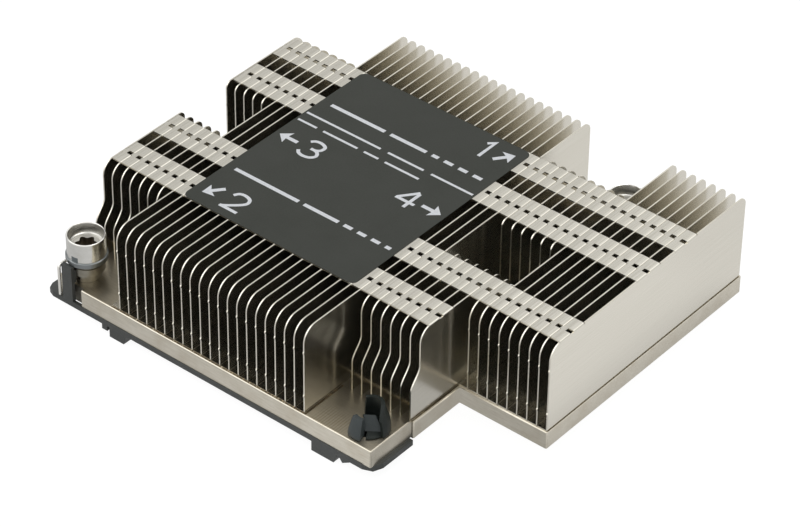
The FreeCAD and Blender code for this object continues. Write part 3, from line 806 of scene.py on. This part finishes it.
def shell_section(degrees):
    top = between(SHELL_TOP, degrees)
    heights = [POST_FOOT + (top - POST_FOOT) * row / SHELL_ROWS for row in range(SHELL_ROWS + 1)]
    outer = [(z, between(SHELL_PROFILE, z)) for z in heights]
    return outer + [(z, radius - SHELL_WALL) for z, radius in reversed(outer)]


def swept_wall(start, end, steps, section):
    """Closed wall round the post's axis; section gives its (z, radius) points at an angle."""
    rings = []
    for step in range(steps + 1):
        degrees = start + (end - start) * step / steps
        across, up = math.cos(math.radians(degrees)), math.sin(math.radians(degrees))
        rings.append([(POST_PLACE[0] + radius * across, POST_PLACE[1] + radius * up, z)
                      for z, radius in section(degrees)])
    return loft(rings)


def make_posts():
    # The shell takes the shaded copy of the plastic, and the finger and slope the lit copy.
    shell_kind, finger_kind = 0, 1
    slope = [(POST_PLACE[0] + x, POST_PLACE[1] + y, z) for x, y, z in SLOPE_POINTS], SLOPE_FACES
    forms = [(shell_kind, swept_wall(*SHELL_SWEEP, shell_section)),
             (finger_kind, swept_wall(*FINGER_SWEEP, lambda degrees: FINGER_PROFILE)),
             (shell_kind, swept_wall(*FOOT_SWEEP, lambda degrees: FOOT_PROFILE)),
             (finger_kind, slope)]
    post = [(points, faces, [kind] * len(faces)) for kind, (points, faces) in forms]
    parts = post + [half_turned(part) for part in post]
    make_piece("snap_posts", parts, [SHADED_SHELL_PLASTIC, LIT_FINGER_PLASTIC],
               smooth_angle=32.0, bevel=0.10)


# Changes to the copies of CAD nodes

NOTCH_SIDE = 36.5
NOTCH_SIDE_DRESSED = 35.7
NOTCH_FRONT = 45.0
SHARP_ANGLE = 60
LONG_EDGE = 8.0
TALL_EDGE = 3.0
RIGHT_OF = 40.0
SAME_X = 0.02
SAME_Z = 0.05


def without_posts(work):
    """Cuts the CAD posts off the carrier's copy above the base plate."""
    for side in (1, -1):
        x, y = side * POST_PLACE[0] * MM, side * POST_PLACE[1] * MM
        near = [face for face in work.faces
                if math.dist(face.calc_center_median().xy, (x, y)) < NEAR_POST * MM]
        geometry = set(near)
        for face in near:
            geometry.update(face.edges)
            geometry.update(face.verts)
        bmesh.ops.bisect_plane(work, geom=list(geometry), dist=WELD, plane_co=(0, 0, POST_CUT * MM),
                               plane_no=(0, 0, 1), clear_outer=True)
    open_edges = [edge for edge in work.edges if len(edge.link_faces) == 1]
    bmesh.ops.holes_fill(work, edges=open_edges, sides=0)


def wider_notch(work):
    """Moves the inner side of the arms' notches in the base plate's copy."""
    for vertex in work.verts:
        x, y, z = vertex.co / MM
        if abs(abs(x) - NOTCH_SIDE) < SAME_X and abs(y) > NOTCH_FRONT and x * y > 0:
            vertex.co.x *= NOTCH_SIDE_DRESSED / NOTCH_SIDE


def long_outer_edges(work):
    """Full weight for the base's long top edges and its corners at the front post and wing."""
    weight = work.edges.layers.float.new("bevel_weight_edge")
    for edge in work.edges:
        if len(edge.link_faces) < 2 or not edge.is_convex:
            continue
        start, end = [vertex.co / MM for vertex in edge.verts]
        on_top = min(start.z, end.z) > FOOT - SAME_Z and (end - start).length > LONG_EDGE
        upright = abs(start.z - end.z) > TALL_EDGE and min(start.x, end.x) > RIGHT_OF
        if edge.calc_face_angle() > math.radians(SHARP_ANGLE) and (on_top or upright):
            edge[weight] = 1.0


# Wire clips

WIRE_X = -42.1
WIRE_FRONT = -46.28
WIRE_REAR = -44.2
WIRE_RADIUS = 0.36
WIRE_BEND = 0.65
WIRE_LOW = 0.3
WIRE_MIDDLE = 4.0
WIRE_BEND_FOOT = 7.2
WIRE_BEND_STEPS = 8
WIRE_SIDES = 16


def tube(path, radius):
    """Closed round wire along a path in one YZ plane."""
    rings = []
    side = Vector((1, 0, 0))
    for number, spot in enumerate(path):
        before = path[max(number - 1, 0)]
        after = path[min(number + 1, len(path) - 1)]
        up = (Vector(after) - Vector(before)).normalized().cross(side)
        rings.append([tuple(Vector(spot) + side * radius * across + up * radius * rise)
                      for across, rise in circle(WIRE_SIDES)])
    return loft(rings)


def make_wire_clips():
    path = [(WIRE_X, WIRE_FRONT, WIRE_LOW), (WIRE_X, WIRE_FRONT, WIRE_MIDDLE)]
    for step in range(WIRE_BEND_STEPS + 1):
        turn = math.radians(180 - 90 * step / WIRE_BEND_STEPS)
        path.append((WIRE_X, WIRE_FRONT + WIRE_BEND + WIRE_BEND * math.cos(turn),
                     WIRE_BEND_FOOT + WIRE_BEND * math.sin(turn)))
    path.append((WIRE_X, WIRE_REAR, WIRE_BEND_FOOT + WIRE_BEND))
    wire = tube(path, WIRE_RADIUS)
    make_piece("wire_springs", [wire, half_turned(wire)], [WIRE_METAL],
               ["wire_clips"], smooth_angle=40.0)


# Label and its plain print

LABEL_TOP = 25.58
LABEL_HALF_WIDE = 22.9
LABEL_HALF_LONG = 28.75
LABEL_CORNER = 1.6
INK_FOOT = LABEL_TOP - 0.01
INK_TOP = 25.597
CROSSING_STEP = 0.004
PEN = 0.78
MITRE_LIMIT = 0.5
WORD_GAP = 0.55


def slab(outline, low, high):
    """Closed flat plate over an outline of (x, y) points."""
    return loft([[(x, y, z) for x, y in outline] for z in (low, high)])


def rounded_rectangle(half_x, half_y, radius, steps=8):
    outline = []
    for quarter, (side_x, side_y) in enumerate([(1, 1), (-1, 1), (-1, -1), (1, -1)]):
        for step in range(steps + 1):
            turn = math.radians(90 * quarter + 90 * step / steps)
            outline.append((side_x * (half_x - radius) + radius * math.cos(turn),
                            side_y * (half_y - radius) + radius * math.sin(turn)))
    return outline


def smooth_line(points, steps=6):
    """Points of a smooth line through the given ones."""
    line = []
    for number in range(len(points) - 1):
        before = Vector(points[max(number - 1, 0)])
        start = Vector(points[number])
        end = Vector(points[number + 1])
        after = Vector(points[min(number + 2, len(points) - 1)])
        for step in range(steps):
            share = step / steps
            line.append(tuple(0.5 * (2 * start + (end - before) * share
                                     + (2 * before - 5 * start + 4 * end - after) * share ** 2
                                     + (3 * start - 3 * end + after - before) * share ** 3)))
    line.append(tuple(points[-1]))
    return line


def stroke(points, width):
    """Outline of a pen line of even width."""
    left, right = [], []
    for number, spot in enumerate(points):
        here = Vector(spot)
        before = (here - Vector(points[number - 1])).normalized() if number else None
        after = (Vector(points[number + 1]) - here).normalized() if number < len(points) - 1 else None
        first = before or after
        second = after or before
        normal = Vector((-first.y - second.y, first.x + second.x)).normalized()
        reach = width / 2 / max(normal.dot(Vector((-first.y, first.x))), MITRE_LIMIT)
        left.append(tuple(here + normal * reach))
        right.append(tuple(here - normal * reach))
    return left + right[::-1]


def arrow(tail, tip, shaft=0.95, head=2.05, barb=2.0, swept=0.25):
    """Outline of an arrow from its tail to its tip."""
    start, end = Vector(tail), Vector(tip)
    along = (end - start).normalized()
    across = Vector((-along.y, along.x))
    neck = end - along * head
    back = neck - along * swept
    return [tuple(spot) for spot in (
        start + across * shaft / 2, neck + across * shaft / 2, back + across * barb, end,
        back - across * barb, neck - across * shaft / 2, start - across * shaft / 2)]


def bars(left, right, y, height, words):
    """A line of plain bars, one for each word's width, with even gaps."""
    unit = (right - left) / (sum(words) + WORD_GAP * (len(words) - 1))
    low, high = y - height / 2, y + height / 2
    outlines, place = [], left
    for word in words:
        end = place + word * unit
        outlines.append([(place, low), (end, low), (end, high), (place, high)])
        place = end + WORD_GAP * unit
    return outlines


# Each digit's strokes from its lower left corner, then the digits' places
DIGITS = {
    1: [[(1.2, 4.7), (2.5, 5.9), (2.5, 0.0)]],
    2: [smooth_line([(0.2, 4.5), (0.9, 5.6), (2.3, 5.9), (3.8, 5.4), (4.3, 4.2), (3.6, 3.0),
                     (1.6, 1.2), (0.3, 0.25)]),
        [(0.0, 0.35), (4.7, 0.35)]],
    3: [smooth_line([(0.3, 4.9), (1.2, 5.7), (2.6, 5.85), (4.0, 5.2), (4.0, 3.9), (3.1, 3.15),
                     (1.9, 3.05)]),
        smooth_line([(2.6, 3.1), (3.8, 2.8), (4.5, 1.7), (3.8, 0.55), (2.3, 0.1), (0.9, 0.35),
                     (0.1, 1.2)])],
    4: [[(3.5, 0.0), (3.5, 5.6)], [(3.3, 5.9), (0.25, 1.95)], [(0.0, 1.9), (4.9, 1.9)]],
}
DIGIT_PLACES = [(1, 12.25, 20.9), (2, -14.9, -26.7), (3, -15.2, -2.8), (4, 10.6, -2.8)]
# Each arrow's tail and tip
ARROWS = [((17.7, 22.0), (20.7, 25.95)), ((-17.3, -21.7), (-20.45, -25.5)),
          ((-16.8, 0.1), (-21.7, 0.1)), ((16.8, 0.1), (21.7, 0.1))]
# Each line of words: left, right, y, height, and the words' widths
WORD_LINES = [(-20.2, 20.5, 14.9, 0.95, [5.2, 3.4, 0.6, 0.8, 0.8, 0.8]),
              (-22.4, 22.4, 9.6, 0.6, [5.5, 2.6, 3.0]),
              (-22.3, 10.5, 6.6, 0.6, [1.6, 2.9, 1.2, 2.8]),
              (-20.5, 21.2, -15.2, 0.95, [6.4, 3.4, 0.8, 0.8, 0.8, 0.5])]


def make_label():
    plate = slab(rounded_rectangle(LABEL_HALF_WIDE, LABEL_HALF_LONG, LABEL_CORNER), TOP, LABEL_TOP)
    make_piece("label_plate", [plate], [FILM], ["top_label"])
    prints = []
    for digit, x, y in DIGIT_PLACES:
        for number, line in enumerate(DIGITS[digit]):
            prints.append((stroke([(x + across, y + up) for across, up in line], PEN),
                           INK_TOP - CROSSING_STEP * number))
    prints += [(arrow(tail, tip), INK_TOP) for tail, tip in ARROWS]
    prints += [(outline, INK_TOP) for line in WORD_LINES for outline in bars(*line)]
    parts = [slab(outline, INK_FOOT, top) for outline, top in prints]
    make_piece("label_print", parts, [INK])


# Solder, flux and painted crease shade at the fins' feet

SOLDER_FOOT = FOOT - 0.02
# Each line's start, end, half width and height over the base plate
# Dark strips in the creases at the fins' feet, partly flux and partly painted shade.
FLUX_AND_CREASE_SHADE_LINES = [((-27.4, -46.12), (25.3, -46.12), 0.12, 0.05),
              ((25.2, -46.2), (25.2, -34.4), 0.17, 0.12),
              ((42.72, -34.2), (42.72, -19.6), 0.10, 0.08),
              ((65.08, -19.2), (65.08, 45.8), 0.05, 0.03)]
BEAD_RINGS = [(0.0, 1.0), (0.35, 0.92), (0.7, 0.6), (0.85, 0.2)]
BEAD_SIDES = 10
# The row of small beads at the front, and one large bead at the foot of each short fin
BEAD_COUNT = 60
BEAD_START = -27.0
BEAD_RUN = 52.0
BEAD_Y = -46.1
BEAD_SIZE = 0.07
BEAD_GROWTH = 0.06
BEAD_STRETCH = 1.5
BEAD_LIFT = 0.02
LARGE_BEAD_Y = -BLOCK_FLANGE - 0.1
LARGE_BEAD_SIZE = 0.26
LARGE_BEAD_GROWTH = 0.12
LARGE_BEAD_SHIFT = 1.2
BEAD_SPREAD = 0.618034
SIZE_SPREAD = 0.37


def bead(x, y, size):
    """Small lump of solder on the base plate."""
    return loft([[(x + size * BEAD_STRETCH * wide * across, y + size * wide * up,
                   FOOT + BEAD_LIFT + size * rise)
                  for across, up in circle(BEAD_SIDES)] for rise, wide in BEAD_RINGS])


def make_solder():
    lines = [slab(stroke([start, end], 2 * half_wide), SOLDER_FOOT, FOOT + high)
             for start, end, half_wide, high in FLUX_AND_CREASE_SHADE_LINES]
    make_piece("flux_and_crease_shade_lines", lines, [FLUX_AND_CREASE_SHADE])
    lumps = []
    for number in range(BEAD_COUNT):
        x = BEAD_START + BEAD_RUN * (number * BEAD_SPREAD % 1.0)
        lumps.append(bead(x, BEAD_Y, BEAD_SIZE + BEAD_GROWTH * (number * SIZE_SPREAD % 1.0)))
    for fin in range(RIGHT_SHORT_FIRST + 1, RIGHT_SPLIT_LAST):
        x = (fin - MAIN_FIN) * PITCH - LARGE_BEAD_SHIFT
        size = LARGE_BEAD_SIZE + LARGE_BEAD_GROWTH * (fin * SIZE_SPREAD % 1.0)
        lumps.append(bead(x, LARGE_BEAD_Y, size))
    make_piece("solder_beads", lumps, [SOLDER], smooth_angle=40.0)


make_fins()
dressed_copy("base_plate_dressed", "base_plate", BASE_METAL, bevel=0.32,
             change=wider_notch, weigh=long_outer_edges)
dressed_copy("carrier_dressed", "carrier_clip", PLASTIC, bevel=0.12,
             change=without_posts)
make_posts()
dressed_copy("rings_dressed", "nut_retaining_rings", RING_METAL, bevel=0.08)
make_nuts()
make_wire_clips()
make_label()
make_solder()


# Stage: floor, world, lamps and camera, in metres

FLOOR_HALF = 3
FLOOR_WHITE = 1.15
FLOOR_WHITE_SHARE = 0.82
# What mirrors see of the floor: (x, light), and one level behind the object
CARD = [(-0.050, 0.62), (0.040, 0.86), (0.043, 0.56), (0.064, 0.54), (0.069, 0.72), (0.076, 0.93),
        (0.100, 0.99)]
REAR_CARD = 0.9
REAR_CARD_START = (0.044, 0.056)
# What mirrors see of the sky: (x, light) at the back, and one level at the front
SKY_BACK = [(-0.5, 0.76), (-0.2, 1.3), (0.15, 1.6), (0.45, 1.3), (0.8, 0.9), (1.0, 0.8)]
SKY_FRONT = 1.15
SKY_TURN = (0.35, -0.5)
DIFFUSE_SKY = 0.50
PHOTO_WIDTH = 800.0
FOCAL_PIXELS = 3504.6
SENSOR_WIDTH = 36.0
CAMERA_PLACE = (0.37377, -0.44402, 0.45497)
CAMERA_LOOK = (-0.49867, 0.61081, -0.61501)
CAMERA_UP = (-0.39957, 0.46766, 0.78844)


def studio_white(tree, lit_floor):
    """The lit floor, whitened for the camera and shown as grey cards to mirrors."""
    path = tree.nodes.new("ShaderNodeLightPath")
    place = split(tree, object_coords(tree))
    start, end = CARD[0][0], CARD[-1][0]
    card = ramp(tree, mapped(tree, place["X"], start, end),
                [((x - start) / (end - start), grey(light)) for x, light in CARD])
    behind = mapped(tree, place["Y"], *REAR_CARD_START)
    card_light = tree.nodes.new("ShaderNodeEmission")
    feed(tree, card_light.inputs["Strength"], mixed(tree, behind, card, grey(REAR_CARD)))
    mirrored = mixed_shaders(tree, path.outputs["Is Glossy Ray"], lit_floor, card_light.outputs[0])
    white = add(tree, "ShaderNodeEmission", Strength=FLOOR_WHITE)
    seen = product(tree, path.outputs["Is Camera Ray"], FLOOR_WHITE_SHARE)
    return mixed_shaders(tree, seen, mirrored, white.outputs[0])


def make_floor():
    mesh = bpy.data.meshes.new("floor")
    floor_z = cad_bounds[0][2]
    corners = [(-1, -1), (1, -1), (1, 1), (-1, 1)]
    mesh.from_pydata([(x * FLOOR_HALF, y * FLOOR_HALF, floor_z) for x, y in corners], [], [(0, 1, 2, 3)])
    floor = bpy.data.objects.new("floor", mesh)
    bpy.context.scene.collection.objects.link(floor)
    material, tree, shader = new_material("floor_white")
    surface(tree, shader, grey(0.90), 0.8)
    tree.links.new(studio_white(tree, shader.outputs[0]), tree.nodes["Material Output"].inputs["Surface"])
    mesh.materials.append(material)


def make_world():
    """A soft even sky for matt surfaces, and a shaped one for mirrors."""
    world = bpy.data.worlds.new("studio")
    bpy.context.scene.world = world
    world.use_nodes = True
    tree = world.node_tree
    path = tree.nodes.new("ShaderNodeLightPath")
    place = split(tree, tree.nodes.new("ShaderNodeTexCoord").outputs["Generated"])
    back = ramp(tree, mapped(tree, place["X"], -1.0, 1.0),
                [((x + 1) / 2, grey(light)) for x, light in SKY_BACK])
    sky = tree.nodes["Background"]
    sky.inputs["Color"].default_value = grey(1.0)
    in_front = mapped(tree, place["Y"], *SKY_TURN)
    feed(tree, sky.inputs["Strength"], mixed(tree, in_front, back, grey(SKY_FRONT)))
    soft = add(tree, "ShaderNodeBackground", Color=grey(1.0), Strength=DIFFUSE_SKY)
    seen = add(tree, "ShaderNodeBackground", Color=grey(1.0))
    light = mixed_shaders(tree, path.outputs["Is Glossy Ray"], soft.outputs[0], sky.outputs[0])
    shown = mixed_shaders(tree, path.outputs["Is Camera Ray"], light, seen.outputs[0])
    tree.links.new(shown, tree.nodes["World Output"].inputs["Surface"])


def area_lamp(name, place, size, power):
    """A square lamp that faces the middle of the contact pad."""
    data = bpy.data.lights.new(name, "AREA")
    data.shape = "RECTANGLE"
    data.size = size
    data.size_y = size
    data.energy = power
    lamp = bpy.data.objects.new(name, data)
    lamp.location = place
    lamp.rotation_euler = (-Vector(place)).to_track_quat("-Z", "Y").to_euler()
    bpy.context.scene.collection.objects.link(lamp)


def make_camera():
    data = bpy.data.cameras.new("camera")
    data.sensor_width = SENSOR_WIDTH
    data.lens = FOCAL_PIXELS * SENSOR_WIDTH / PHOTO_WIDTH
    data.clip_start = 0.01
    data.clip_end = 20.0
    camera = bpy.data.objects.new("camera", data)
    look = Vector(CAMERA_LOOK).normalized()
    right = look.cross(Vector(CAMERA_UP)).normalized()
    up = right.cross(look)
    turn = Matrix((right, up, -look)).transposed().to_4x4()
    camera.matrix_world = Matrix.Translation(Vector(CAMERA_PLACE)) @ turn
    bpy.context.scene.collection.objects.link(camera)
    bpy.context.scene.camera = camera


make_floor()
make_world()
area_lamp("lamp_top", (0.25, 0.2, 0.95), 0.5, 1.6)
area_lamp("lamp_front_left", (-0.7, -0.5, 0.9), 1.2, 4.6)
make_camera()
bpy.context.scene.view_settings.view_transform = "Standard"

bpy.context.view_layer.update()
